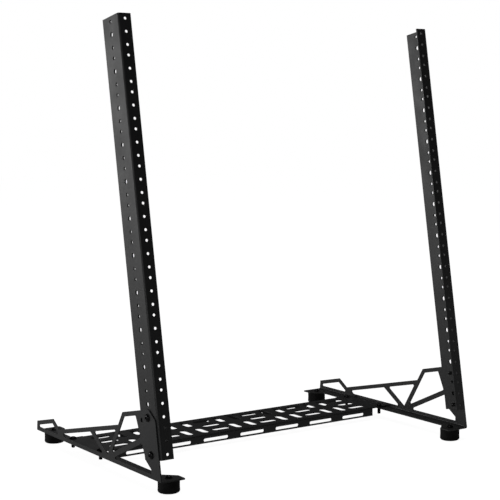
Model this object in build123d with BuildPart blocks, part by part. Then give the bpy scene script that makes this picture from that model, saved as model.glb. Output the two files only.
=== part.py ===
"""Desktop rack frame: two leaning 12-unit rails on folded side brackets, joined by a slotted tray.

Millimetres, +Z up, front at -Y. The origin is on the floor, at the centre of the footprint.
"""

import os
from math import cos, radians, sin, tan

from build123d import *

os.makedirs("parts", exist_ok=True)

# Sheet metal
bracket_sheet = 1.5
rail_sheet = 2.0
tray_sheet = 1.5
bend_inside = 1.0

# Rails: a standard 19-inch opening and hole spacing
rail_opening = 450.0
rail_flange = 16.95
rail_depth = 40.0
rack_units = 12
unit_height = 44.45
unit_hole_shares = (1 / 7, 1 / 2, 6 / 7)
hole_inset = 7.55
rail_thread_bore = 4.4
side_hole = 4.6
side_middle_hole = 6.0
rail_tilt = 9.85
rail_foot_back = 1.1
rail_foot_height = 27.1

# Side bracket, as seen from the side
bracket_length = 342.0
leaf_front_drop = 0.5
leaf_margin = 10.5
leaf_shoulder = 29.0
tower_back = 93.5
tower_step = 17.9
handle_length = 69.0
handle_rise = 11.3
handle_rear_height = 14.0
saddle_height = 13.8
tower_slope = 57.1
handle_slope = 31.6
rear_lean = 1.5
bottom_bar = 6.3
rim = 5.8
rib = 6.8
handle_rib = 8.6
truss_foot_lead = 2.0
truss_foot_height = 3.8
brace_slope = 24.4
rear_rib_slope = 31.6
leaf_foot = 23.1
leaf_foot_rise = 5.8
leaf_waist = (36.0, 20.6)
leaf_back_slope = 64.4
leaf_corner = 6.0
outline_corner = 1.2
handle_corner = 6.5
window_corner = 1.6

# Bracket flange, as seen from above
flange_width = 18.5
tab_width = 33.75
tab_length = 17.5
tab_corner = 2.5

# Feet
foot_diameter = 27.0
foot_height = 16.0
foot_edge = 3.0
foot_inset_side = 18.95
foot_inset_end = 15.0

# Tray
tray_from_rear = 124.2
tray_depth = 91.0
tray_lip = 12.1
bracket_lip_gap = 29.95
tray_side_gap = 1.45
slot_width = 11.1
slot_web = 7.6
cross_slot_columns = 6
cross_slot_rows = 3
cross_slot_side_margin = 16.45
cross_slot_edge_margin = 14.25
long_slot_pairs = 5
long_slot_rows = 2
long_slot_pair_pitch = 24.7
long_slot_edge_margin = 10.4
long_slot_gap = 12.4
lip_slot_length = 39.4
lip_slot_height = 4.4
lip_slot_count = 7
lip_slot_side_margin = 16.7
lip_slot_rise = 4.3

# Screws
screw_diameter = 5.0
screw_clearance = 0.5
thread_clearance = 0.1
head_diameter = 10.0
head_height = 2.8
head_rim = 0.6
socket_across = 3.0
socket_depth = 1.6
rail_screw_length = 8.0
tray_screw_length = 12.0
foot_screw_length = 12.0
foot_bore_spare = 1.0
tray_screw_side = 12.95
tray_screw_edge = 6.0
spare_position_turn = 20.0

# Worked out from the sizes above
rail_length = rack_units * unit_height
unit_holes = [share * unit_height for share in unit_hole_shares]
rail_outer = rail_opening / 2 + rail_flange
bracket_outer = rail_outer + bracket_sheet
front = -bracket_length / 2
flange_bottom = foot_height
flange_top = flange_bottom + bracket_sheet
tray_top = flange_top + tray_sheet
tray_middle = -front - tray_from_rear
tray_lip_half = bracket_outer - bracket_lip_gap
tray_half = rail_outer - tray_side_gap
slot_pitch = 2 * (tray_lip_half - cross_slot_side_margin) / (cross_slot_columns - 1)
cross_slot_length = slot_pitch - long_slot_pair_pitch - slot_width - 2 * slot_web
cross_slot_row_pitch = (tray_depth - slot_width) / 2 - cross_slot_edge_margin
long_slot_length = (tray_depth - long_slot_gap) / 2 - long_slot_edge_margin
lip_slot_room = 2 * (tray_lip_half - lip_slot_side_margin) - lip_slot_length
lip_slot_pitch = lip_slot_room / (lip_slot_count - 1)
side_hole_back = (rail_sheet + rail_depth) / 2
clearance_hole = screw_diameter + screw_clearance
thread_hole = screw_diameter + thread_clearance
hole_side = rail_opening / 2 + hole_inset
rail_screw_levels = (unit_holes[0], unit_holes[0] + unit_height)
rail_foot = (front + rail_foot_back, flange_bottom + rail_foot_height)


def rail_plane():
    """The plane across the foot of the rails: its normal runs up the leaning rails."""
    lean = radians(rail_tilt)
    return Plane(
        origin=(0, rail_foot[0], rail_foot[1]), x_dir=(1, 0, 0), z_dir=(0, sin(lean), cos(lean))
    )


def rail_point(up, back):
    """Y and Z of a point that lies up along a rail and back from its front face."""
    point = rail_plane().from_local_coords(Vector(0, back, up))
    return point.Y, point.Z


def side_point(back, height):
    """Y and Z of a point given from the bracket's front corner and the flange's underside."""
    return front + back, flange_bottom + height


def bracket_outline():
    """Corners of the bracket's side view, from the front foot up and round to the rear foot.

    The leaf's height follows the upper rail screw, and one slope runs down the whole roof,
    stepped at the tower, to the saddle in front of the raised rear end.
    """
    screw_height = rail_point(rail_screw_levels[1], side_hole_back)[1] - flange_bottom
    leaf_height = screw_height - leaf_front_drop
    shoulder_height = screw_height + leaf_margin
    step_back = tower_step / tan(radians(tower_slope))
    handle_back = bracket_length - handle_length
    handle_run = handle_rise / tan(radians(handle_slope))
    roof_run = handle_back - leaf_shoulder - step_back
    fall = (shoulder_height - tower_step - saddle_height) / roof_run
    tower_height = shoulder_height - (tower_back - leaf_shoulder) * fall
    return [
        side_point(0, 0),
        side_point(leaf_height * tan(radians(rail_tilt)), leaf_height),
        side_point(leaf_shoulder, shoulder_height),
        side_point(tower_back, tower_height),
        side_point(tower_back + step_back, tower_height - tower_step),
        side_point(handle_back, saddle_height),
        side_point(handle_back + handle_run, saddle_height + handle_rise),
        side_point(bracket_length - rear_lean, handle_rear_height),
        side_point(bracket_length, 0),
    ]


def cut_rib(start, slope, width, side):
    """Take a rib out of the window sketch: a bar from a point, its lower edge set off to one side."""
    with Locations(Location((start[0], start[1], 0), (0, 0, slope))):
        with Locations((0, side)):
            Rectangle(bracket_length, width, align=(Align.MIN, Align.MIN), mode=Mode.SUBTRACT)


def leaf_outline():
    """Corners of the solid leaf that carries the rail, run out past the rim and the roof."""
    back, height = leaf_waist
    past_roof = 2 * unit_height
    return [
        side_point(-leaf_foot, 0),
        side_point(leaf_foot, 0),
        side_point(leaf_foot, bottom_bar + leaf_foot_rise),
        side_point(back, height),
        side_point(back + past_roof / tan(radians(leaf_back_slope)), height + past_roof),
        side_point(-leaf_foot, height + past_roof),
    ]


def window_sketch(outline):
    """The five open windows of a bracket, left between its rim, leaf and ribs.

    Three ribs meet at the truss's foot, where the tower's rear slope comes down to the bottom bar.
    """
    tower_corner = outline[3]
    foot_level = flange_bottom + truss_foot_height
    slope_run = (tower_corner[1] - foot_level) / tan(radians(tower_slope))
    foot = (tower_corner[0] + slope_run - truss_foot_lead, foot_level)
    with BuildSketch() as windows:
        with BuildLine():
            Polyline(*outline, close=True)
        make_face()
        offset(amount=-rim, kind=Kind.INTERSECTION, mode=Mode.REPLACE)
        with Locations((0, flange_bottom)):
            Rectangle(2 * bracket_length, 2 * bottom_bar, mode=Mode.SUBTRACT)
        Polygon(*leaf_outline(), align=None, mode=Mode.SUBTRACT)
        cut_rib(foot, 180 - brace_slope, rib, -rib / 2)
        cut_rib(foot, rear_rib_slope, rib, -rib / 2)
        cut_rib(tower_corner, -tower_slope, rib, -rim)
        cut_rib(outline[5], 180 + handle_slope, handle_rib, rim - handle_rib)
        fillet(windows.vertices(), window_corner)
    return windows.sketch


def flange_outline():
    """Corners of the right bracket as seen from above: a flange with a wider tab at each end."""
    slant = tab_width - flange_width
    inner = bracket_outer - flange_width
    tip = bracket_outer - tab_width
    return [
        (bracket_outer, front),
        (bracket_outer, -front),
        (tip, -front),
        (tip, -front - tab_length),
        (inner, -front - tab_length - slant),
        (inner, front + tab_length + slant),
        (tip, front + tab_length),
        (tip, front),
    ]


def leaf_holes():
    """Y and Z of the leaf's three holes: the two rail screws and the spare steeper position."""
    lower, upper = [rail_point(level, side_hole_back) for level in rail_screw_levels]
    spare = radians(rail_tilt + spare_position_turn)
    return [lower, upper, (lower[0] + unit_height * sin(spare), lower[1] + unit_height * cos(spare))]


def foot_places():
    """X and Y of the four feet, front left first."""
    side = bracket_outer - foot_inset_side
    end = -front - foot_inset_end
    return [(-side, -end), (side, -end), (-side, end), (side, end)]


def tray_screw_places():
    """X and Y of the four tray screws, front left first."""
    side = bracket_outer - tray_screw_side
    half_pitch = tray_depth / 2 - tray_screw_edge
    return [(x, tray_middle + y) for y in (-half_pitch, half_pitch) for x in (-side, side)]


def button_screw(length):
    """A button-head screw with a hexagon socket, standing on the underside of its head."""
    with BuildPart() as screw:
        with BuildSketch(Plane.XZ):
            with BuildLine():
                edge = (head_diameter / 2, head_rim)
                crown = (head_diameter / 4, head_height)
                Polyline(crown, (0, head_height), (0, -length), (screw_diameter / 2, -length))
                Polyline((screw_diameter / 2, -length), (screw_diameter / 2, 0), (edge[0], 0), edge)
                RadiusArc(edge, crown, -head_diameter / 2)
            make_face()
        revolve(axis=Axis.Z)
        with BuildSketch(Plane.XY.offset(head_height)):
            RegularPolygon(socket_across / 2, 6, major_radius=False)
        extrude(amount=-socket_depth, mode=Mode.SUBTRACT)
    return screw.part


# Right side bracket: a folded sheet trimmed to its side view, then to its view from above
outline = bracket_outline()
outside_bend = bend_inside + bracket_sheet
blank_top = outline[2][1] + outside_bend
with BuildPart() as right_side_bracket:
    with BuildSketch(Plane.XZ.offset(front)) as fold:
        with BuildLine():
            Polyline(
                (bracket_outer - tab_width, flange_bottom),
                (bracket_outer, flange_bottom),
                (bracket_outer, blank_top),
                (rail_outer, blank_top),
                (rail_outer, flange_top),
                (bracket_outer - tab_width, flange_top),
                close=True,
            )
        make_face()
        fillet(fold.vertices().group_by(Axis.Y)[0].sort_by(Axis.X)[-1], outside_bend)
        fillet(fold.vertices().sort_by_distance((rail_outer, flange_top))[0], bend_inside)
    extrude(amount=bracket_length)
    with BuildSketch(Plane.YZ) as side_view:
        with BuildLine():
            Polyline(*outline, close=True)
        make_face()
        corners = side_view.vertices()
        leaf_tips = [corners.sort_by_distance(outline[i])[0] for i in (1, 2)]
        bar_tips = [corners.sort_by_distance(outline[i])[0] for i in (3, 4, 5, 6)]
        handle_tip = corners.sort_by_distance(outline[7])[0]
        fillet(leaf_tips, leaf_corner)
        fillet(bar_tips, outline_corner)
        fillet(handle_tip, handle_corner)
    extrude(amount=2 * bracket_outer, mode=Mode.INTERSECT)
    with BuildSketch() as plan:
        with BuildLine():
            Polyline(*flange_outline(), close=True)
        make_face()
        fillet(plan.vertices().group_by(Axis.X)[0], tab_corner)
    extrude(amount=blank_top, mode=Mode.INTERSECT)
    with BuildSketch(Plane.YZ):
        add(window_sketch(outline))
    extrude(amount=2 * bracket_outer, mode=Mode.SUBTRACT)
    with BuildSketch(Plane.YZ):
        with Locations(*leaf_holes()):
            Circle(clearance_hole / 2)
    extrude(amount=2 * bracket_outer, mode=Mode.SUBTRACT)
    with BuildSketch():
        with Locations(*foot_places()):
            Circle(clearance_hole / 2)
        with Locations(*tray_screw_places()):
            Circle(thread_hole / 2)
    extrude(amount=flange_bottom + 2 * bracket_sheet, mode=Mode.SUBTRACT)

with BuildPart() as left_side_bracket:
    mirror(right_side_bracket.part, about=Plane.YZ)

right_side_bracket.part.label = "right_side_bracket"
export_step(right_side_bracket.part, "parts/right_side_bracket.step")
left_side_bracket.part.label = "left_side_bracket"
export_step(left_side_bracket.part, "parts/left_side_bracket.step")


# Right rail: an angle with equipment holes down its front and fixing holes down its side
foot_of_rail = rail_plane()
front_face = Plane(foot_of_rail.origin, x_dir=foot_of_rail.x_dir, z_dir=-foot_of_rail.y_dir)
side_face = Plane(foot_of_rail.origin, x_dir=foot_of_rail.y_dir, z_dir=foot_of_rail.x_dir)
units = range(rack_units)
with BuildPart() as right_rail:
    with BuildSketch(foot_of_rail) as angle:
        with BuildLine():
            Polyline(
                (rail_opening / 2, 0),
                (rail_outer, 0),
                (rail_outer, rail_depth),
                (rail_outer - rail_sheet, rail_depth),
                (rail_outer - rail_sheet, rail_sheet),
                (rail_opening / 2, rail_sheet),
                close=True,
            )
        make_face()
        fillet(angle.vertices().sort_by_distance((rail_outer, 0))[0], bend_inside + rail_sheet)
        fillet(
            angle.vertices().sort_by_distance((rail_outer - rail_sheet, rail_sheet))[0], bend_inside
        )
    extrude(amount=rail_length)
    with BuildSketch(front_face):
        with Locations(*[(hole_side, u * unit_height + h) for u in units for h in unit_holes]):
            Circle(rail_thread_bore / 2)
    extrude(amount=-2 * rail_sheet, mode=Mode.SUBTRACT)
    low_hole, middle_hole, high_hole = unit_holes
    with BuildSketch(side_face):
        with Locations(
            *[(side_hole_back, u * unit_height + h) for u in units for h in (low_hole, high_hole)]
        ):
            Circle(side_hole / 2)
        with Locations(*[(side_hole_back, u * unit_height + middle_hole) for u in units]):
            Circle(side_middle_hole / 2)
        with Locations(*[(side_hole_back, level) for level in rail_screw_levels]):
            Circle(thread_hole / 2)
    extrude(amount=2 * rail_outer, mode=Mode.SUBTRACT)

with BuildPart() as left_rail:
    mirror(right_rail.part, about=Plane.YZ)

right_rail.part.label = "right_rail"
export_step(right_rail.part, "parts/right_rail.step")
left_rail.part.label = "left_rail"
export_step(left_rail.part, "parts/left_rail.step")


# Tray: a channel with slotted lips, and a flat tab at each end that lies on the bracket flange
with BuildPart() as shelf_tray:
    with BuildSketch(Plane.YZ.offset(-tray_lip_half)) as channel:
        half = tray_depth / 2
        with Locations((tray_middle, tray_top)):
            Rectangle(tray_depth, tray_lip, align=(Align.CENTER, Align.MAX))
        fillet(channel.vertices().group_by(Axis.Y)[-1], bend_inside + tray_sheet)
        with Locations((tray_middle, tray_top - tray_sheet)):
            Rectangle(
                tray_depth - 2 * tray_sheet, tray_lip, align=(Align.CENTER, Align.MAX), mode=Mode.SUBTRACT
            )
        roof_corners = [(tray_middle + s * (half - tray_sheet), tray_top - tray_sheet) for s in (-1, 1)]
        fillet([channel.vertices().sort_by_distance(c)[0] for c in roof_corners], bend_inside)
    extrude(amount=2 * tray_lip_half)
    with BuildSketch(Plane.XY.offset(tray_top)):
        with Locations((0, tray_middle)):
            Rectangle(2 * tray_half, tray_depth)
            Rectangle(2 * tray_lip_half, tray_depth, mode=Mode.SUBTRACT)
    extrude(amount=-tray_sheet)
    with BuildSketch(Plane.XY.offset(tray_top)):
        with Locations((0, tray_middle)):
            with GridLocations(slot_pitch, cross_slot_row_pitch, cross_slot_columns, cross_slot_rows):
                SlotOverall(cross_slot_length, slot_width)
            long_slot_row_pitch = long_slot_length + long_slot_gap
            with GridLocations(slot_pitch, long_slot_row_pitch, long_slot_pairs, long_slot_rows):
                with GridLocations(long_slot_pair_pitch, 0, 2, 1):
                    SlotOverall(long_slot_length, slot_width, rotation=90)
        with Locations(*tray_screw_places()):
            Circle(clearance_hole / 2)
    extrude(amount=-tray_sheet, mode=Mode.SUBTRACT)
    with BuildSketch(Plane.XZ.offset(-tray_middle)):
        with Locations((0, tray_top - tray_lip + lip_slot_rise)):
            with GridLocations(lip_slot_pitch, 0, lip_slot_count, 1):
                SlotOverall(lip_slot_length, lip_slot_height)
    extrude(amount=tray_depth, both=True, mode=Mode.SUBTRACT)

shelf_tray.part.label = "shelf_tray"
export_step(shelf_tray.part, "parts/shelf_tray.step")


# Feet and their screws, which come down through the bracket tabs
corner_names = ("front_left", "front_right", "rear_left", "rear_right")
for corner, place in zip(corner_names, foot_places()):
    with BuildPart() as foot:
        on_the_floor = Plane((place[0], place[1], 0), x_dir=(1, 0, 0), z_dir=(0, -1, 0))
        with BuildSketch(on_the_floor) as profile:
            Rectangle(foot_diameter / 2, foot_height, align=(Align.MIN, Align.MIN))
            fillet(profile.vertices().group_by(Axis.Y)[0].sort_by(Axis.X)[-1], foot_edge)
        revolve(axis=Axis((place[0], place[1], 0), (0, 0, 1)))
        with Locations((place[0], place[1], foot_height)):
            Hole(thread_hole / 2, depth=foot_screw_length - bracket_sheet + foot_bore_spare)
    foot.part.label = f"{corner}_foot"
    export_step(foot.part, f"parts/{corner}_foot.step")

    with BuildPart() as foot_screw:
        with Locations((place[0], place[1], flange_top)):
            add(button_screw(foot_screw_length))
    foot_screw.part.label = f"{corner}_foot_screw"
    export_step(foot_screw.part, f"parts/{corner}_foot_screw.step")


# Tray screws, through the tray's end tabs into the flanges
for corner, place in zip(corner_names, tray_screw_places()):
    with BuildPart() as tray_screw:
        with Locations((place[0], place[1], tray_top)):
            add(button_screw(tray_screw_length))
    tray_screw.part.label = f"{corner}_tray_screw"
    export_step(tray_screw.part, f"parts/{corner}_tray_screw.step")


# Rail screws, through the bracket leaves into the rails' side holes
for side_name, side in (("left", -1), ("right", 1)):
    for level, (back, height) in zip(("lower", "upper"), leaf_holes()):
        with BuildPart() as rail_screw:
            with Locations(Plane((side * bracket_outer, back, height), z_dir=(side, 0, 0))):
                add(button_screw(rail_screw_length))
        rail_screw.part.label = f"{side_name}_{level}_rail_screw"
        export_step(rail_screw.part, f"parts/{side_name}_{level}_rail_screw.step")
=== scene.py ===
"""Looks of a desktop frame rack: powder-coated sheet metal, threaded screws and rubber feet.

Metres, +X right, +Y back, +Z up, with the origin on the floor under the middle of the rack.
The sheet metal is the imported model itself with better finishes. Screws, feet and the threads
in the rails' tapped holes are new surfaces, worked out as grids of points.
"""

import logging
import math
from abc import ABC, abstractmethod
from dataclasses import dataclass
from enum import Enum

import bpy
import numpy as np
from mathutils import Euler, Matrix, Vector
from numpy.typing import NDArray


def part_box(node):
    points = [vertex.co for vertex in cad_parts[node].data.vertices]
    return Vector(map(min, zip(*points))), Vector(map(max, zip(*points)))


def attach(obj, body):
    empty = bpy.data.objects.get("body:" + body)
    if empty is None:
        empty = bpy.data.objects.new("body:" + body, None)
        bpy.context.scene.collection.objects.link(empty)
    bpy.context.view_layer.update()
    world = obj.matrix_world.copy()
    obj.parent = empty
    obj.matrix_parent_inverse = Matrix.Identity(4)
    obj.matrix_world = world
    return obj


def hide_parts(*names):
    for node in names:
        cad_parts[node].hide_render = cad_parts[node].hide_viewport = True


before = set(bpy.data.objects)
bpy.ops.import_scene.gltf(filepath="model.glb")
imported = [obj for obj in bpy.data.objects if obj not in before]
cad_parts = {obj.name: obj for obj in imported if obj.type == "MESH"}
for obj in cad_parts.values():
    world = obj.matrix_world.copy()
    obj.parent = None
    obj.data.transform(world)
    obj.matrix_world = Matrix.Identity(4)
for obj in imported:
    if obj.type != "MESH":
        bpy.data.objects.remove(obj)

Points = NDArray[np.float64]
Colour = tuple[float, float, float]
Span = tuple[float, float]
Node = bpy.types.Node
Socket = bpy.types.NodeSocket
Material = bpy.types.Material

MM = 0.001
WHITE = (1.0, 1.0, 1.0, 1.0)
FULL: Span = (0.0, 1.0)
NOISE_SPAN: Span = (0.3, 0.7)  # where most of a noise's values lie
log = logging.getLogger("desktop_frame_rack")


class Slot(Enum):
    """Material slots of the record."""

    POWDER_COAT = "powder_coat"
    FOOT_RUBBER = "foot_rubber"
    SCREW_BLACK = "screw_black"


class Corner(Enum):
    """The four corners at which the feet and the tray screws stand."""

    FRONT_LEFT = "front_left"
    FRONT_RIGHT = "front_right"
    REAR_LEFT = "rear_left"
    REAR_RIGHT = "rear_right"


class Level(Enum):
    """The two levels at which screws hold each rail."""

    LOWER = "lower"
    UPPER = "upper"


class Side(Enum):
    """The two sides of the rack, with the sign of X on each."""

    LEFT = -1
    RIGHT = 1

    @property
    def word(self) -> str:
        """The side's name as it stands in node names."""
        return self.name.lower()


def turn_angles(count: int) -> Points:
    """Angles of one full turn, without its end.

    Args:
        count: How many columns the turn is divided into.

    Returns:
        The angles in radians, rising from zero.
    """
    return np.arange(count) * (2 * math.pi / count)


def turned_rings(radius: Points, height: Points, angles: Points) -> Points:
    """Rings round the Z axis: each point is (r cos a, r sin a, h).

    Args:
        radius: Radii of shape (rings, columns), or (rings, 1) for round rings.
        height: Heights of shape (rings, columns), or (rings, 1) for level rings.
        angles: The columns' angles.

    Returns:
        Points of shape (rings, columns, 3).
    """
    shape = (len(radius), len(angles))
    r, h = np.broadcast_to(radius, shape), np.broadcast_to(height, shape)
    return np.stack([r * np.cos(angles), r * np.sin(angles), h], axis=2)


def ring_quads(rings: int, columns: int, wrap: bool) -> NDArray[np.int64]:
    """Corner numbers of the quads between neighbouring rings of a grid.

    Args:
        rings: Number of rings.
        columns: Points in each ring, which closes on itself.
        wrap: True if the last ring joins the first one.

    Returns:
        Corner numbers of shape (quads, 4), facing outwards for rings that go down.
    """
    upper = np.arange(rings if wrap else rings - 1)[:, None]
    lower = (upper + 1) % rings
    here = np.arange(columns)[None, :]
    beside = (here + 1) % columns
    corners = [upper * columns + here, lower * columns + here]
    corners += [lower * columns + beside, upper * columns + beside]
    return np.stack(corners, axis=2).reshape(-1, 4)


def capped_faces(rings: int, columns: int) -> list[list[int]]:
    """Faces of a grid of rings closed by one pole above it and one below it.

    The poles are the two points that follow the grid's own points.

    Args:
        rings: Number of rings.
        columns: Points in each ring.

    Returns:
        Corner numbers of each face.
    """
    here = np.arange(columns)
    beside = (here + 1) % columns
    top, bottom = rings * columns, rings * columns + 1
    last = (rings - 1) * columns
    crown = np.stack([np.full(columns, top), here, beside], axis=1)
    base = np.stack([np.full(columns, bottom), last + beside, last + here], axis=1)
    return ring_quads(rings, columns, False).tolist() + crown.tolist() + base.tolist()


def with_poles(rings: Points) -> Points:
    """Put rings into one list of points that ends with the two poles.

    Args:
        rings: Points of shape (rings, columns, 3).

    Returns:
        Points of shape (count, 3), the last two in the middle of the first and the last ring.
    """
    poles = np.stack([rings[0].mean(axis=0), rings[-1].mean(axis=0)])
    return np.concatenate([rings.reshape(-1, 3), poles])


def stood_on(points: Points, seat: Vector, direction: Vector) -> Points:
    """Move points from their own frame to a seat, their Z axis along a direction.

    Args:
        points: Points of shape (count, 3).
        seat: Where their origin goes.
        direction: Where their Z axis points.

    Returns:
        The moved points.
    """
    turn = np.array(direction.to_track_quat("Z", "Y").to_matrix())
    return points @ turn.T + np.array(seat)


def mesh_piece(name: str, points: Points, faces: list[list[int]]) -> bpy.types.Object:
    """Put points and faces into a smooth-shaded object that sits at the origin.

    Args:
        name: Name of the new object.
        points: Points of shape (count, 3), in metres in the rack's frame.
        faces: Corner numbers of each face.

    Returns:
        The new object, linked to the scene.
    """
    mesh = bpy.data.meshes.new(name)
    mesh.from_pydata(points.tolist(), [], faces)
    mesh.polygons.foreach_set("use_smooth", np.ones(len(mesh.polygons), bool))
    mesh.update()
    piece = bpy.data.objects.new(name, mesh)
    bpy.context.scene.collection.objects.link(piece)
    return piece


def dress(piece: bpy.types.Object, material: Material) -> None:
    """Give every face of an object one material.

    Args:
        piece: The object.
        material: Its finish.
    """
    piece.data.materials.clear()
    piece.data.materials.append(material)


def seat_piece(piece: bpy.types.Object, slot: Slot, material: Material, *nodes: str) -> None:
    """Finish a new piece, ride it on the rack and let it stand for CAD nodes.

    Args:
        piece: The new object.
        slot: The record's slot that its finish belongs to; not used.
        material: Its finish.
        nodes: The CAD nodes that it replaces, if any.
    """
    dress(piece, material)
    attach(piece, "root")
    if nodes:
        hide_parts(*nodes)
    log.info("%s: %d faces, stands for %s", piece.name, len(piece.data.polygons), nodes or "none")


@dataclass(frozen=True)
class Grain:
    """One noise pattern.

    Attributes:
        width: Width of a feature, in metres.
        detail: How many finer layers it has.
        roughness: How much each finer layer adds to the one before it.
    """

    width: float
    detail: float
    roughness: float = 0.55


@dataclass(frozen=True)
class NodeBench:
    """Shorthand for wiring the nodes of one material or world.

    Attributes:
        tree: The node tree that it works on.
    """

    tree: bpy.types.NodeTree

    def add(self, kind: str, **settings: object) -> Node:
        """Add a node.

        Args:
            kind: Blender's node type.
            settings: Property names or input names with the values they get.

        Returns:
            The new node.
        """
        node = self.tree.nodes.new(kind)
        for key, value in settings.items():
            if hasattr(node, key):
                setattr(node, key, value)
            else:
                node.inputs[key.replace("_", " ")].default_value = value
        return node

    def join(self, source: Socket, target: Socket) -> None:
        """Link one socket to another.

        Args:
            source: An output.
            target: An input.
        """
        self.tree.links.new(source, target)

    def coords(self) -> Socket:
        """Coordinates in the object's own frame.

        Returns:
            The coordinates.
        """
        return self.add("ShaderNodeTexCoord").outputs["Object"]

    def flat_normal(self) -> Socket:
        """The surface's own normal.

        Returns:
            The normal.
        """
        return self.add("ShaderNodeNewGeometry").outputs["Normal"]

    def rounded_normal(self, radius: float, samples: int) -> Socket:
        """A normal that turns softly over every edge.

        Args:
            radius: How far from the edge it turns, in metres.
            samples: How many rays it is worked out from.

        Returns:
            The normal.
        """
        return self.add("ShaderNodeBevel", samples=samples, Radius=radius).outputs["Normal"]

    def spread(self, source: Socket, start: Span, end: Span, easing: str = "LINEAR") -> Socket:
        """Carry a value from one range to another.

        Args:
            source: The value to carry.
            start: Range that it is read in, clamped.
            end: Range that it is written in.
            easing: Blender's name for the curve between the two ends.

        Returns:
            The carried value.
        """
        node = self.add("ShaderNodeMapRange", clamp=True, interpolation_type=easing)
        numbers = (*start, *end)
        for name, number in zip(("From Min", "From Max", "To Min", "To Max"), numbers):
            node.inputs[name].default_value = number
        self.join(source, node.inputs["Value"])
        return node.outputs["Result"]

    def product(self, first: Socket, second: Socket) -> Socket:
        """Multiply two values.

        Args:
            first: A value.
            second: Another value.

        Returns:
            Their product.
        """
        node = self.add("ShaderNodeMath", operation="MULTIPLY")
        self.join(first, node.inputs[0])
        self.join(second, node.inputs[1])
        return node.outputs["Value"]

    def noise(self, coords: Socket, grain: Grain) -> Socket:
        """Noise whose features are about one grain wide.

        Args:
            coords: Object coordinates.
            grain: The pattern.

        Returns:
            The noise, from 0 to 1.
        """
        node = self.add(
            "ShaderNodeTexNoise", Scale=1.0 / grain.width, Detail=grain.detail, Roughness=grain.roughness
        )
        self.join(coords, node.inputs["Vector"])
        return node.outputs["Fac"]

    def bump(self, height: Socket, depth: float, normal: Socket) -> Socket:
        """Raise a surface by a height pattern.

        Args:
            height: The pattern, from 0 to 1.
            depth: Height of a full step, in metres.
            normal: The normal that it is raised from.

        Returns:
            The new normal.
        """
        node = self.add("ShaderNodeBump", Strength=1.0, Distance=depth)
        self.join(height, node.inputs["Height"])
        self.join(normal, node.inputs["Normal"])
        return node.outputs["Normal"]

    def blend(self, factor: Socket, first: Socket | Colour, second: Socket | Colour) -> Socket:
        """Blend two colours, each a linear colour or the output of another node.

        A colour mix keeps its two colours in inputs 6 and 7 and its result in output 2.

        Args:
            factor: 0 gives the first colour and 1 the second.
            first: A colour.
            second: Another colour.

        Returns:
            The blended colour.
        """
        node = self.add("ShaderNodeMix", data_type="RGBA")
        self.join(factor, node.inputs[0])
        for place, colour in ((6, first), (7, second)):
            if isinstance(colour, Socket):
                self.join(colour, node.inputs[place])
            else:
                node.inputs[place].default_value = (*colour, 1.0)
        return node.outputs[2]

    def backdrop_share(self, mirror: float) -> Socket:
        """How much of the white backdrop a ray sees: all of it, or a share in a reflection.

        Args:
            mirror: The share that a reflection sees.

        Returns:
            1 for the camera's rays, mirror for reflected ones and 0 for the rest.
        """
        path = self.add("ShaderNodeLightPath")
        share = self.add("ShaderNodeMath", operation="MULTIPLY_ADD")
        self.join(path.outputs["Is Glossy Ray"], share.inputs[0])
        share.inputs[1].default_value = mirror
        self.join(path.outputs["Is Camera Ray"], share.inputs[2])
        return share.outputs["Value"]


class Finish(ABC):
    """A finish that lays its own nodes into a new material.

    Attributes:
        name: Name of the material.
    """

    name: str

    def make(self) -> Material:
        """Build the material.

        Returns:
            The finished material.
        """
        material = bpy.data.materials.new(self.name)
        material.use_nodes = True
        self.wire(NodeBench(material.node_tree), material.node_tree.nodes["Principled BSDF"])
        return material

    @abstractmethod
    def wire(self, bench: NodeBench, shader: Node) -> None:
        """Lay the finish's nodes and join them to the shader.

        Args:
            bench: The new material's bench.
            shader: Its principled shader.
        """


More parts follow.
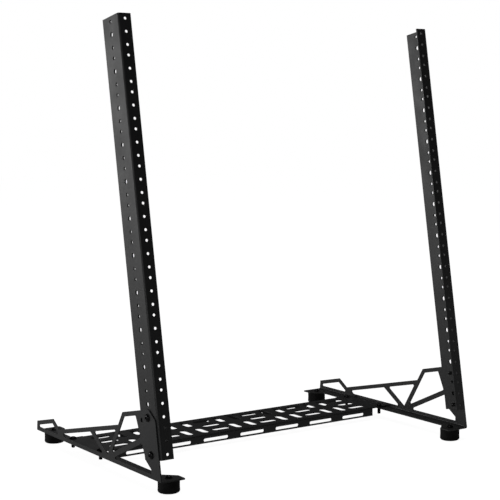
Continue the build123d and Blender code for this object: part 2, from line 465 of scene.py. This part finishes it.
@dataclass(frozen=True)
class PowderCoat(Finish):
    """Matt black powder coat: a fine sand texture over a soft orange peel, with a painted shade darkening
    the edges.

    Attributes:
        valley: Colour between the grains of sand.
        crest: Colour on the grains.
        edge: Colour of the painted shade on the sheets' edges, darker than the coat.
        sand: The fine texture.
        sand_depth: How high it stands.
        sand_tone: How much the sand darkens the colour, from its valleys to its crests.
        peel: The orange peel.
        peel_depth: How high it stands.
        cloud: Slow changes over a whole sheet.
        cloud_tone: How much the cloud darkens the colour, from its dark to its light places.
        roughness: The shader's roughness, from the cloud's dark to its light places.
        edge_radius: How far the edges look rounded.
        edge_samples: How many rays the rounding is worked out from.
        edge_parting: Cosine between rounded and flat normal where the painted edge shade starts, and
            where it is full.
    """

    name: str = "black_powder_coat"
    valley: Colour = (0.0165, 0.0166, 0.0172)
    crest: Colour = (0.0240, 0.0242, 0.0250)
    # Painted shade: the sheets' edges are coloured darker to stand in for the shade on them.
    edge: Colour = (0.0120, 0.0121, 0.0125)
    sand: Grain = Grain(0.7 * MM, 3.0)
    sand_depth: float = 0.035 * MM
    sand_tone: Span = (0.2, 1.0)
    peel: Grain = Grain(3.2 * MM, 1.0)
    peel_depth: float = 0.05 * MM
    cloud: Grain = Grain(45 * MM, 4.0)
    cloud_tone: Span = (0.55, 1.0)
    roughness: Span = (0.36, 0.48)
    edge_radius: float = 0.30 * MM
    edge_samples: int = 6
    edge_parting: Span = (0.995, 0.86)

    def wire(self, bench: NodeBench, shader: Node) -> None:
        """Lay the coat's nodes.

        The colour goes from valley to crest with the sand and a slow cloud, and a painted shade darkens
        it where a rounded normal parts from the flat one, which is at the sheets' edges.

        Args:
            bench: The new material's bench.
            shader: Its principled shader.
        """
        coords = bench.coords()
        rounded = bench.rounded_normal(self.edge_radius, self.edge_samples)
        # Mask of the painted edge shade: where the rounded normal parts from the flat one.
        parting = bench.add("ShaderNodeVectorMath", operation="DOT_PRODUCT")
        bench.join(rounded, parting.inputs[0])
        bench.join(bench.flat_normal(), parting.inputs[1])
        painted_edge_shade = bench.spread(parting.outputs["Value"], self.edge_parting, FULL)

        sand = bench.noise(coords, self.sand)
        peel = bench.noise(coords, self.peel)
        cloud = bench.noise(coords, self.cloud)
        mottle = bench.product(
            bench.spread(sand, NOISE_SPAN, self.sand_tone),
            bench.spread(cloud, NOISE_SPAN, self.cloud_tone),
        )
        coat = bench.blend(mottle, self.valley, self.crest)
        # The painted edge shade is blended over the coat's colour here.
        bench.join(bench.blend(painted_edge_shade, coat, self.edge), shader.inputs["Base Color"])
        bench.join(bench.spread(cloud, NOISE_SPAN, self.roughness), shader.inputs["Roughness"])
        peeled = bench.bump(peel, self.peel_depth, rounded)
        bench.join(bench.bump(sand, self.sand_depth, peeled), shader.inputs["Normal"])


@dataclass(frozen=True)
class BlackOxide(Finish):
    """Black-oxided and oiled screw steel: dark, with small clear highlights.

    Attributes:
        deep: Colour between the grains.
        lit: Colour on the grains.
        grain: The steel's grain.
        grain_depth: How high it stands.
        roughness: The shader's roughness, from between the grains to on them.
        sheen: The shader's specular level.
        edge_radius: How far the edges look rounded.
        edge_samples: How many rays the rounding is worked out from.
    """

    name: str = "black_oxide"
    deep: Colour = (0.0015, 0.0015, 0.0018)
    lit: Colour = (0.0040, 0.0040, 0.0045)
    grain: Grain = Grain(0.5 * MM, 4.0)
    grain_depth: float = 0.003 * MM
    roughness: Span = (0.16, 0.22)
    sheen: float = 0.22
    edge_radius: float = 0.12 * MM
    edge_samples: int = 4

    def wire(self, bench: NodeBench, shader: Node) -> None:
        """Lay the steel's nodes.

        Args:
            bench: The new material's bench.
            shader: Its principled shader.
        """
        grain = bench.noise(bench.coords(), self.grain)
        tone = bench.blend(bench.spread(grain, NOISE_SPAN, FULL), self.deep, self.lit)
        bench.join(tone, shader.inputs["Base Color"])
        bench.join(bench.spread(grain, NOISE_SPAN, self.roughness), shader.inputs["Roughness"])
        shader.inputs["Specular IOR Level"].default_value = self.sheen
        rounded = bench.rounded_normal(self.edge_radius, self.edge_samples)
        bench.join(bench.bump(grain, self.grain_depth, rounded), shader.inputs["Normal"])


@dataclass(frozen=True)
class MouldedRubber(Finish):
    """Matt black moulded rubber with a dusting of grey bloom.

    Attributes:
        deep: Colour of the bare rubber.
        bloom: Colour of the bloom.
        grain: The mould's texture.
        grain_depth: How high it stands.
        cloud: Where the bloom lies.
        bloom_span: The cloud's values where the bloom starts, and where it is full.
        roughness: The shader's roughness, from between the grains to on them.
        sheen: The shader's specular level.
    """

    name: str = "moulded_rubber"
    deep: Colour = (0.008, 0.008, 0.008)
    bloom: Colour = (0.018, 0.018, 0.018)
    grain: Grain = Grain(0.9 * MM, 3.0)
    grain_depth: float = 0.03 * MM
    cloud: Grain = Grain(9 * MM, 3.0)
    bloom_span: Span = (0.35, 0.7)
    roughness: Span = (0.60, 0.80)
    sheen: float = 0.14

    def wire(self, bench: NodeBench, shader: Node) -> None:
        """Lay the rubber's nodes.

        Args:
            bench: The new material's bench.
            shader: Its principled shader.
        """
        coords = bench.coords()
        grain = bench.noise(coords, self.grain)
        cloud = bench.noise(coords, self.cloud)
        tone = bench.blend(bench.spread(cloud, self.bloom_span, FULL), self.deep, self.bloom)
        bench.join(tone, shader.inputs["Base Color"])
        bench.join(bench.spread(grain, NOISE_SPAN, self.roughness), shader.inputs["Roughness"])
        shader.inputs["Specular IOR Level"].default_value = self.sheen
        bench.join(bench.bump(grain, self.grain_depth, bench.flat_normal()), shader.inputs["Normal"])


@dataclass(frozen=True)
class PaleFloor(Finish):
    """The studio's pale floor, which keeps a faint shadow under the rack.

    Attributes:
        colour: Colour that the lamps light.
        roughness: The shader's roughness.
        sheen: The shader's specular level.
        mirror: Share of the glow that reflections see.
        fill_reach: How far from the rack the glow starts to rise, and where it is full.
        fill_glow: The glow near the rack and far from it.
    """

    name: str = "pale_floor"
    colour: Colour = (0.50, 0.50, 0.50)
    roughness: float = 0.9
    sheen: float = 0.0
    mirror: float = 0.14
    fill_reach: Span = (0.5, 3.4)
    fill_glow: Span = (0.95, 0.99)

    def wire(self, bench: NodeBench, shader: Node) -> None:
        """Lay the floor's nodes.

        A fill glow, seen by the camera and as a share in reflections, rises with distance as
        the lamps' light falls, so that the lit floor comes out evenly white.

        Args:
            bench: The new material's bench.
            shader: Its principled shader.
        """
        shader.inputs["Base Color"].default_value = (*self.colour, 1.0)
        shader.inputs["Roughness"].default_value = self.roughness
        shader.inputs["Specular IOR Level"].default_value = self.sheen
        shader.inputs["Emission Color"].default_value = WHITE
        away = bench.add("ShaderNodeVectorMath", operation="LENGTH")
        bench.join(bench.coords(), away.inputs[0])
        fill = bench.spread(away.outputs["Value"], self.fill_reach, self.fill_glow, "SMOOTHSTEP")
        glow = bench.product(fill, bench.backdrop_share(self.mirror))
        bench.join(glow, shader.inputs["Emission Strength"])


@dataclass(frozen=True)
class SheetMetal:
    """The five folded sheets, which keep their CAD shapes.

    Attributes:
        finish: Their finish.
        sheets: Their CAD nodes.
    """

    finish: Finish = PowderCoat()
    sheets: tuple[str, ...] = (
        "left_side_bracket",
        "right_side_bracket",
        "left_rail",
        "right_rail",
        "shelf_tray",
    )

    def build(self) -> Material:
        """Dress the sheets.

        Returns:
            Their finish, which other coated pieces share.
        """
        coat = self.finish.make()
        for name in self.sheets:
            dress(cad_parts[name], coat)
            log.info("%s: %s", name, coat.name)
        return coat


@dataclass(frozen=True)
class TappedBore:
    """One size of tapped hole.

    Attributes:
        root: Its plain radius.
        crest: Radius of the thread's crests, which stand into it.
    """

    root: float
    crest: float


@dataclass(frozen=True)
class TappedHoles:
    """Threads in the rails' holes: three to a unit up the front flange, two up the side.

    Attributes:
        units: How many units tall the rails are.
        unit: Height of a unit.
        front_shares: Where in each unit the front holes are, as shares of it.
        side_shares: Where in each unit the small side holes are.
        screwed: Which side holes the rail screws fill, counted from the lowest.
        front_bore: The front holes' radii.
        side_bore: The side holes' radii.
        across: From the middle of the rack to each row of front holes.
        outside: From the middle of the rack to each side flange's outer face.
        side_back: How far the side holes lie behind the rail's front face.
        foot: Y and Z of the rail's lowest front edge.
        tilt: How far the rails lean back, in degrees.
        sheet: The rails' thickness.
        bury: How deep in the metal the lining's outer wall lies.
        pitch: Height of one turn of the thread.
        run_out: Share of the sheet over which the thread eases in at each mouth.
        rows: Rings down the inside of a lining.
        columns: Points in each ring.
    """

    units: int = 12
    unit: float = 44.45 * MM
    front_shares: tuple[float, ...] = (1 / 7, 1 / 2, 6 / 7)
    side_shares: tuple[float, ...] = (1 / 7, 6 / 7)
    screwed: tuple[int, ...] = (0, 2)
    front_bore: TappedBore = TappedBore(2.2 * MM, 1.76 * MM)
    side_bore: TappedBore = TappedBore(2.3 * MM, 1.84 * MM)
    across: float = 232.55 * MM
    outside: float = 241.95 * MM
    side_back: float = 21.0 * MM
    foot: Span = (-169.9 * MM, 43.1 * MM)
    tilt: float = 9.85
    sheet: float = 2.0 * MM
    bury: float = 0.04 * MM
    pitch: float = 0.8 * MM
    run_out: float = 0.125
    rows: int = 17
    columns: int = 20

    def lining(self, bore: TappedBore) -> Points:
        """One hole's threaded lining round the Z axis, its mouth at height zero.

        The inner wall's radius swings between root and crest with a cosine of height over
        pitch less the turn, and eases to the root at both mouths. The outer wall lies just
        inside the metal.

        Args:
            bore: The hole's radii.

        Returns:
            Points of shape (rings, columns, 3), the rings going down inside and up outside.
        """
        angles = turn_angles(self.columns)
        depth = np.linspace(0.0, 1.0, self.rows)[:, None]
        swing = 0.5 - 0.5 * np.cos(2 * math.pi * depth * self.sheet / self.pitch - angles)
        ease = np.clip(np.minimum(depth, 1 - depth) / self.run_out, 0, 1)
        inner = bore.root - (bore.root - bore.crest) * swing * ease
        inner_height = np.broadcast_to(-depth * self.sheet, inner.shape)
        outer = np.full((2, self.columns), bore.root + self.bury)
        outer_height = np.array([[-self.sheet + self.bury], [-self.bury]]) * np.ones(self.columns)
        return turned_rings(
            np.concatenate([inner, outer]), np.concatenate([inner_height, outer_height]), angles
        )

    def linings(self, bore: TappedBore, direction: Vector, mouths: Points) -> Points:
        """The linings of one row of holes.

        Args:
            bore: The holes' radii.
            direction: Where the holes open to.
            mouths: Centres of their mouths.

        Returns:
            Points of shape (holes, points, 3).
        """
        turned = stood_on(self.lining(bore).reshape(-1, 3), Vector((0, 0, 0)), direction)
        return mouths[:, None, :] + turned[None, :, :]

    def mouths(self, climb: Points, across: float, back: float) -> Points:
        """Centres of a row of hole mouths up a leaning rail.

        Args:
            climb: How far up the rail each hole is.
            across: The row's X.
            back: How far the row lies behind the rail's front face.

        Returns:
            Points of shape (holes, 3).
        """
        lean = math.radians(self.tilt)
        y = self.foot[0] + climb * math.sin(lean) + back * math.cos(lean)
        z = self.foot[1] + climb * math.cos(lean) - back * math.sin(lean)
        return np.stack([np.full_like(y, across), y, z], axis=1)

    def climbs(self, shares: tuple[float, ...]) -> Points:
        """How far up the rail the holes at some shares of each unit are.

        Args:
            shares: The holes' shares of a unit.

        Returns:
            The climbs of all units, lowest first.
        """
        return (np.arange(self.units)[:, None] + np.array(shares)).ravel() * self.unit

    def build(self, coat: Material) -> None:
        """Line every hole of both rails, except the side holes that the rail screws fill.

        Args:
            coat: The rails' finish.
        """
        lean = math.radians(self.tilt)
        forwards = Vector((0, -math.cos(lean), math.sin(lean)))
        free = np.delete(self.climbs(self.side_shares), self.screwed)
        for side in Side:
            outwards = Vector((side.value, 0, 0))
            front = self.mouths(self.climbs(self.front_shares), side.value * self.across, 0.0)
            flank = self.mouths(free, side.value * self.outside, self.side_back)
            rows = [
                self.linings(self.front_bore, forwards, front),
                self.linings(self.side_bore, outwards, flank),
            ]
            points = np.concatenate(rows)
            holes, size = points.shape[:2]
            quads = ring_quads(size // self.columns, self.columns, True)[:, ::-1]
            starts = np.arange(holes)[:, None, None] * size
            faces = (quads[None, :, :] + starts).reshape(-1, 4).tolist()
            piece = mesh_piece(f"{side.word}_rail_threads", points.reshape(-1, 3), faces)
            seat_piece(piece, Slot.POWDER_COAT, coat)


class Thread(Enum):
    """Whether a screw's thread can be seen, with the number of rings drawn to one pitch."""

    SHOWN = 9
    HIDDEN = 1


@dataclass(frozen=True)
class ButtonScrew:
    """A button-head screw with a hexagon socket and a rolled thread.

    Attributes:
        head: Radius of the head.
        head_height: Height of the head.
        rim: Height of the head's outer edge.
        crown: Radius of the flat on top of the head.
        bow: How far the dome bows out from its chord.
        dome_rings: Rings down the dome.
        lip: Height up to which the head's lowest edge is rounded.
        lip_inset: How far that edge is drawn in.
        socket: Half of the socket's width across flats.
        socket_depth: Depth of the socket.
        chamfer: Width of the chamfer round the socket's mouth.
        cone_share: Ring on the socket's floor, as a share of the hexagon.
        cone_depth: How much deeper that ring lies.
        corner_share: Ring at the foot of the socket's wall, as a share of the hexagon.
        corner_rise: How far the wall starts above that ring.
        shank: Radius of the shank.
        neck: How far the head's underside stays round the shank.
        thread_depth: Depth of the thread.
        thread_power: Power that sharpens the thread's crests.
        pitch: Height of one turn of the thread.
        start: Share of the shank at which its first ring lies.
        plain: Length of shank under the head before the thread starts.
        tip: Length of the pointed tip.
        tip_draw: How far the tip is drawn in.
        fewest_rows: Fewest rings down a shank.
        columns: Points in each ring.
    """

    head: float = 5.0 * MM
    head_height: float = 2.8 * MM
    rim: float = 0.6 * MM
    crown: float = 2.1 * MM
    bow: float = 0.45 * MM
    dome_rings: int = 8
    lip: float = 0.12 * MM
    lip_inset: float = 0.15 * MM
    socket: float = 1.5 * MM
    socket_depth: float = 1.6 * MM
    chamfer: float = 0.25 * MM
    cone_share: float = 0.35
    cone_depth: float = 0.2 * MM
    corner_share: float = 0.98
    corner_rise: float = 0.02 * MM
    shank: float = 2.5 * MM
    neck: float = 0.2 * MM
    thread_depth: float = 0.42 * MM
    thread_power: float = 0.8
    pitch: float = 0.8 * MM
    start: float = 0.02
    plain: float = 0.6 * MM
    tip: float = 0.6 * MM
    tip_draw: float = 0.55 * MM
    fewest_rows: int = 4
    columns: int = 36

    def hexagon(self, angles: Points) -> Points:
        """Radius of the socket's wall: half the flats over the cosine of the angle off a flat.

        Args:
            angles: The columns' angles.

        Returns:
            The radius at each angle.
        """
        off_flat = np.mod(angles, math.pi / 3) - math.pi / 6
        return self.socket / np.cos(off_flat)

    def head_rings(self, angles: Points) -> tuple[Points, Points]:
        """Radius and height of the rings from the socket's floor to the head's underside.

        The floor is a shallow cone, the wall a hexagon with a round chamfered mouth, and the
        dome a chord from crown to rim bowed out by a parabola.

        Args:
            angles: The columns' angles.

        Returns:
            Radii and heights, each of shape (rings, columns).
        """
        six = self.hexagon(angles)
        corner = self.socket / math.cos(math.pi / 6)
        floor = self.head_height - self.socket_depth
        rings = [
            (self.cone_share * six, floor - self.cone_depth),
            (self.corner_share * six, floor),
            (six, floor + self.corner_rise),
            (six, self.head_height - self.chamfer),
            (corner + self.chamfer, self.head_height),
            (self.crown, self.head_height),
        ]
        run, fall = self.head - self.crown, self.head_height - self.rim
        chord = math.hypot(run, fall)
        for share in np.linspace(0.0, 1.0, self.dome_rings + 1)[1:]:
            bowed = 4 * self.bow * share * (1 - share)
            out, down = run * share + fall / chord * bowed, fall * share - run / chord * bowed
            rings.append((self.crown + out, self.head_height - down))
        rings += [
            (self.head, self.lip),
            (self.head - self.lip_inset, 0.0),
            (self.shank + self.neck, 0.0),
        ]
        even = np.ones_like(angles)
        radii, heights = ([value * even for value in values] for values in zip(*rings))
        return np.stack(radii), np.stack(heights)

    def shank_rings(self, length: float, thread: Thread, angles: Points) -> tuple[Points, Points]:
        """Radius and height of the rings down the shank.

        The thread's radius falls from the shank's by its depth with a sharpened cosine of
        height over pitch less the turn. It fades in under the head and runs out at the tip.

        Args:
            length: From the head's underside to the tip.
            thread: Whether the thread shows.
            angles: The columns' angles.

        Returns:
            Radii and heights, each of shape (rings, columns).
        """
        rows = max(self.fewest_rows, int(length / self.pitch * thread.value))
        down = np.linspace(self.start, 1.0, rows)[:, None] * length
        wave = 0.5 - 0.5 * np.cos(2 * math.pi * down / self.pitch - angles)
        ease = np.clip((down - self.plain) / self.pitch, 0, 1)
        depth = self.thread_depth * wave**self.thread_power * ease if thread is Thread.SHOWN else 0 * wave
        point = np.clip((down - (length - self.tip)) / self.tip, 0, 1) * self.tip_draw
        return self.shank - np.maximum(depth, point), np.broadcast_to(-down, depth.shape)

    def build(self, node: str, direction: Vector, thread: Thread, finish: Material) -> None:
        """Make the screw in the place of its CAD node.

        Args:
            node: The CAD node that it stands for.
            direction: From its tip to its head.
            thread: Whether the thread shows.
            finish: Its material.
        """
        low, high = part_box(node)
        axis = max(range(3), key=lambda i: abs(direction[i]))
        length = high[axis] - low[axis] - self.head_height
        seat = (low + high) / 2
        sign = math.copysign(1, direction[axis])
        top = high[axis] if sign > 0 else low[axis]
        seat[axis] = top - sign * self.head_height
        angles = turn_angles(self.columns)
        parts = [self.head_rings(angles), self.shank_rings(length, thread, angles)]
        radii, heights = (np.concatenate(rows) for rows in zip(*parts))
        points = stood_on(with_poles(turned_rings(radii, heights, angles)), seat, direction)
        piece = mesh_piece(f"{node}_detail", points, capped_faces(len(radii), self.columns))
        seat_piece(piece, Slot.SCREW_BLACK, finish, node)


@dataclass(frozen=True)
class Fasteners:
    """All twelve screws.

    Attributes:
        screw: Their shape.
        finish: Their finish.
    """

    screw: ButtonScrew = ButtonScrew()
    finish: Finish = BlackOxide()

    def build(self) -> None:
        """Make the foot, tray and rail screws."""
        oxide = self.finish.make()
        up = Vector((0, 0, 1))
        for corner in Corner:
            self.screw.build(f"{corner.value}_foot_screw", up, Thread.HIDDEN, oxide)
            self.screw.build(f"{corner.value}_tray_screw", up, Thread.SHOWN, oxide)
        for side in Side:
            outwards = Vector((side.value, 0, 0))
            for level in Level:
                self.screw.build(f"{side.word}_{level.value}_rail_screw", outwards, Thread.SHOWN, oxide)


@dataclass(frozen=True)
class RubberFeet:
    """Four moulded feet: soft-edged cylinders, drawn in a little at the waist.

    Attributes:
        top_edge: Radius of the top edge's rounding.
        floor_edge: Radius of the floor edge's rounding.
        waist: How far the wall is drawn in.
        top_shares: Rings on the top face, as shares of the foot's radius.
        floor_shares: Rings on the floor face, as shares of the foot's radius.
        top_rings: Rings round the top edge.
        wall_rings: Rings down the wall.
        floor_rings: Rings round the floor edge.
        columns: Points in each ring.
        finish: Their finish.
    """

    top_edge: float = 0.8 * MM
    floor_edge: float = 3.0 * MM
    waist: float = 0.25 * MM
    top_shares: Span = (0.35, 0.7)
    floor_shares: Span = (0.6, 0.3)
    top_rings: int = 7
    wall_rings: int = 10
    floor_rings: int = 12
    columns: int = 72
    finish: Finish = MouldedRubber()

    def profile(self, radius: float, height: float) -> tuple[Points, Points]:
        """Radius and height down the foot's outline.

        The top edge and the floor edge are quarter circles, and the wall between them is
        drawn in by a half sine.

        Args:
            radius: The foot's radius.
            height: The foot's height.

        Returns:
            Radii and heights from the top to the floor, each of shape (rings, 1).
        """
        top = np.linspace(0, math.pi / 2, self.top_rings)
        wall = np.linspace(0, 1, self.wall_rings + 2)[1:-1]
        bottom = np.linspace(0, math.pi / 2, self.floor_rings)
        wall_run = height - self.top_edge - self.floor_edge
        radii = [
            radius * np.array(self.top_shares),
            radius - self.top_edge * (1 - np.sin(top)),
            radius - self.waist * np.sin(math.pi * wall),
            radius - self.floor_edge * (1 - np.cos(bottom)),
            radius * np.array(self.floor_shares),
        ]
        heights = [
            np.full(len(self.top_shares), height),
            height - self.top_edge * (1 - np.cos(top)),
            height - self.top_edge - wall_run * wall,
            self.floor_edge * (1 - np.sin(bottom)),
            np.zeros(len(self.floor_shares)),
        ]
        return np.concatenate(radii)[:, None], np.concatenate(heights)[:, None]

    def build(self) -> None:
        """Make the four feet in the place of their CAD nodes."""
        rubber = self.finish.make()
        angles = turn_angles(self.columns)
        for corner in Corner:
            node = f"{corner.value}_foot"
            low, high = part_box(node)
            radii, heights = self.profile((high.x - low.x) / 2, high.z - low.z)
            points = with_poles(turned_rings(radii, heights, angles))
            points = points + np.array(((low.x + high.x) / 2, (low.y + high.y) / 2, low.z))
            piece = mesh_piece(f"{node}_detail", points, capped_faces(len(radii), self.columns))
            seat_piece(piece, Slot.FOOT_RUBBER, rubber, node)


@dataclass(frozen=True)
class SoftPanel:
    """One soft studio lamp.

    Attributes:
        name: Name of the lamp.
        place: Where it hangs.
        aim: The point that it faces.
        size: Its width and height.
        watts: Its power.
    """

    name: str
    place: tuple[float, float, float]
    aim: tuple[float, float, float]
    size: Span
    watts: float


@dataclass(frozen=True)
class Studio:
    """Camera, lamps, white surroundings and pale floor.

    Attributes:
        camera_place: Where the camera stands.
        azimuth: How far it looks to the right of straight back, in degrees.
        elevation: How far it looks up, in degrees.
        focal: Focal length, in millimetres.
        sensor: Width of its sensor, in millimetres.
        shift: How far the picture is shifted, as shares of its width.
        clip: Nearest and furthest distance that it sees.
        surround: Strength of the surroundings to all but the camera.
        surround_mirror: Share of their white that reflections see.
        floor: The floor's finish.
        floor_reach: How far the floor runs each way.
        panels: The lamps.
    """

    camera_place: tuple[float, float, float] = (-1.0081, -1.5152, 0.4384)
    azimuth: float = 36.381
    elevation: float = -5.861
    focal: float = 96.3
    sensor: float = 36.0
    shift: Span = (-0.1317, 0.0196)
    clip: Span = (0.05, 50.0)
    surround: float = 0.02
    surround_mirror: float = 0.02
    floor: Finish = PaleFloor()
    floor_reach: float = 8.0
    panels: tuple[SoftPanel, ...] = (
        SoftPanel("rear_left_panel", (-3.0, 3.0, 0.7), (0.0, 0.0, 0.2), (1.6, 0.8), 24.0),
        SoftPanel("front_left_panel", (-2.8, -1.2, 0.7), (0.0, 0.0, 0.2), (1.2, 0.8), 7.8),
        SoftPanel("left_strip", (-1.4, 1.0, 0.3), (0.0, 0.0, 0.25), (0.9, 0.5), 1.5),
        SoftPanel("rear_panel", (0.3, 2.4, 1.2), (0.0, 0.0, 0.3), (1.6, 1.2), 1.05),
        SoftPanel("right_panel", (2.2, 0.0, 1.0), (0.0, 0.0, 0.3), (1.2, 1.0), 2.4),
        SoftPanel("front_left_strip", (-1.3, -1.6, 0.2), (0.0, 0.0, 0.1), (0.9, 0.3), 0.45),
        SoftPanel("front_right_strip", (1.4, -1.6, 0.2), (0.0, 0.0, 0.1), (0.9, 0.3), 0.4),
        SoftPanel("top_panel", (0.0, 0.0, 2.0), (0.0, 0.0, 0.2), (1.2, 1.2), 5.5),
    )

    def add_camera(self) -> None:
        """Stand the camera where the photograph was taken from."""
        data = bpy.data.cameras.new("photograph_camera")
        data.sensor_width, data.lens = self.sensor, self.focal
        data.shift_x, data.shift_y = self.shift
        data.clip_start, data.clip_end = self.clip
        camera = bpy.data.objects.new("photograph_camera", data)
        camera.location = self.camera_place
        tip = math.radians(90 + self.elevation)
        camera.rotation_euler = Euler((tip, 0, -math.radians(self.azimuth)))
        bpy.context.scene.collection.objects.link(camera)
        bpy.context.scene.camera = camera

    def add_panels(self) -> None:
        """Hang the soft lamps."""
        for panel in self.panels:
            data = bpy.data.lights.new(panel.name, "AREA")
            data.shape, data.energy = "RECTANGLE", panel.watts
            data.size, data.size_y = panel.size
            lamp = bpy.data.objects.new(panel.name, data)
            lamp.location = panel.place
            line = Vector(panel.aim) - Vector(panel.place)
            lamp.rotation_euler = line.to_track_quat("-Z", "Y").to_euler()
            bpy.context.scene.collection.objects.link(lamp)

    def add_surroundings(self) -> None:
        """White to the camera, and a plain dim grey to everything else."""
        world = bpy.data.worlds.new("surroundings")
        bpy.context.scene.world = world
        world.use_nodes = True
        bench = NodeBench(world.node_tree)
        background = world.node_tree.nodes["Background"]
        seen = bench.backdrop_share(self.surround_mirror)
        bench.join(bench.spread(seen, FULL, (self.surround, 1.0)), background.inputs["Strength"])
        background.inputs["Color"].default_value = WHITE

    def add_floor(self) -> None:
        """Lay the floor."""
        corners = np.array([[-1, -1, 0], [1, -1, 0], [1, 1, 0], [-1, 1, 0]]) * self.floor_reach
        floor = mesh_piece("studio_floor", corners, [[0, 1, 2, 3]])
        dress(floor, self.floor.make())

    def build(self) -> None:
        """Set up the whole studio."""
        bpy.context.scene.view_settings.view_transform = "Standard"
        self.add_camera()
        self.add_panels()
        self.add_surroundings()
        self.add_floor()
        log.info("studio: %d panels", len(self.panels))


def main() -> None:
    """Dress the rack and light it."""
    logging.basicConfig(level=logging.INFO, format="%(name)s %(message)s")
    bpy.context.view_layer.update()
    Studio().build()
    coat = SheetMetal().build()
    TappedHoles().build(coat)
    Fasteners().build()
    RubberFeet().build()


if __name__ == "__main__":
    main()
